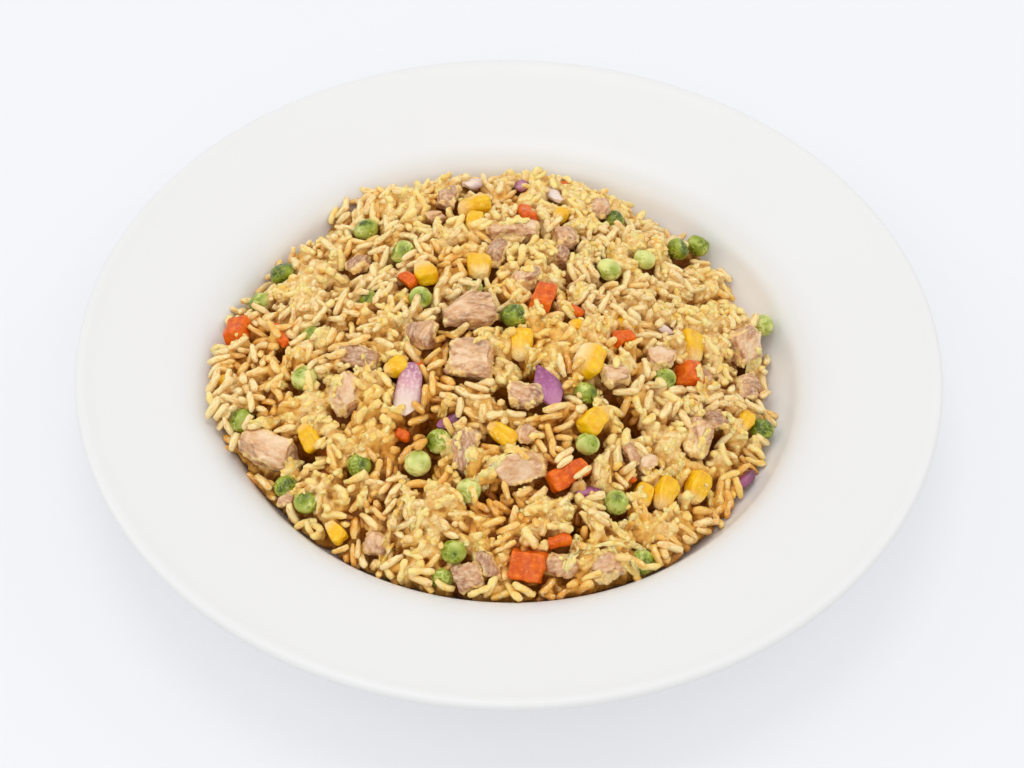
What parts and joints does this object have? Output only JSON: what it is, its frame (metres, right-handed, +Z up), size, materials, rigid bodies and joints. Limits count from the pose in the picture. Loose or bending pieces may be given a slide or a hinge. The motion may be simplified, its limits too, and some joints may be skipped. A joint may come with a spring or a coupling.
{
  "type": "plate of chicken fried rice",
  "caption": "Wide-rimmed white porcelain plate heaped with fried rice, with chicken, peas, sweetcorn, carrot, red onion and egg.",
  "frame": {"origin": "middle of the foot ring, on the table", "axes": "+Z up, -Y to the front of the plate as it is seen, +X to the right"},
  "size_m": [0.28, 0.28, 0.0554],
  "materials": {
    "porcelain": "smooth white glaze",
    "rice": "cooked rice, golden, faintly oily",
    "chicken": "cooked chicken, fibrous and moist",
    "red_onion": "cooked red onion, translucent",
    "carrot": "cooked carrot, moist",
    "sweetcorn": "cooked kernel, glossy skin",
    "green_pea": "cooked pea, wrinkled glossy skin"
  },
  "bodies": {
    "root": {"plate": "porcelain", "rice": "rice", "chicken_01": "chicken", "chicken_02": "chicken", "chicken_03": "chicken", "chicken_04": "chicken", "chicken_05": "chicken", "chicken_06": "chicken", "chicken_07": "chicken", "chicken_08": "chicken", "chicken_09": "chicken", "chicken_10": "chicken", "chicken_11": "chicken", "chicken_12": "chicken", "chicken_13": "chicken", "chicken_14": "chicken", "chicken_15": "chicken", "chicken_16": "chicken", "chicken_17": "chicken", "chicken_18": "chicken", "onion_01": "red_onion", "onion_02": "red_onion", "onion_03": "red_onion", "carrot_01": "carrot", "carrot_02": "carrot", "carrot_03": "carrot", "carrot_04": "carrot", "carrot_05": "carrot", "carrot_06": "carrot", "corn_01": "sweetcorn", "corn_02": "sweetcorn", "corn_03": "sweetcorn", "corn_04": "sweetcorn", "corn_05": "sweetcorn", "corn_06": "sweetcorn", "corn_07": "sweetcorn", "corn_08": "sweetcorn", "corn_09": "sweetcorn", "corn_10": "sweetcorn", "corn_11": "sweetcorn", "pea_01": "green_pea", "pea_02": "green_pea", "pea_03": "green_pea", "pea_04": "green_pea", "pea_05": "green_pea", "pea_06": "green_pea", "pea_07": "green_pea", "pea_08": "green_pea", "pea_09": "green_pea", "pea_10": "green_pea", "pea_11": "green_pea", "pea_12": "green_pea", "pea_13": "green_pea", "pea_14": "green_pea", "pea_15": "green_pea", "pea_16": "green_pea", "pea_17": "green_pea", "pea_18": "green_pea", "pea_19": "green_pea", "pea_20": "green_pea"}
  },
  "joints": []
}
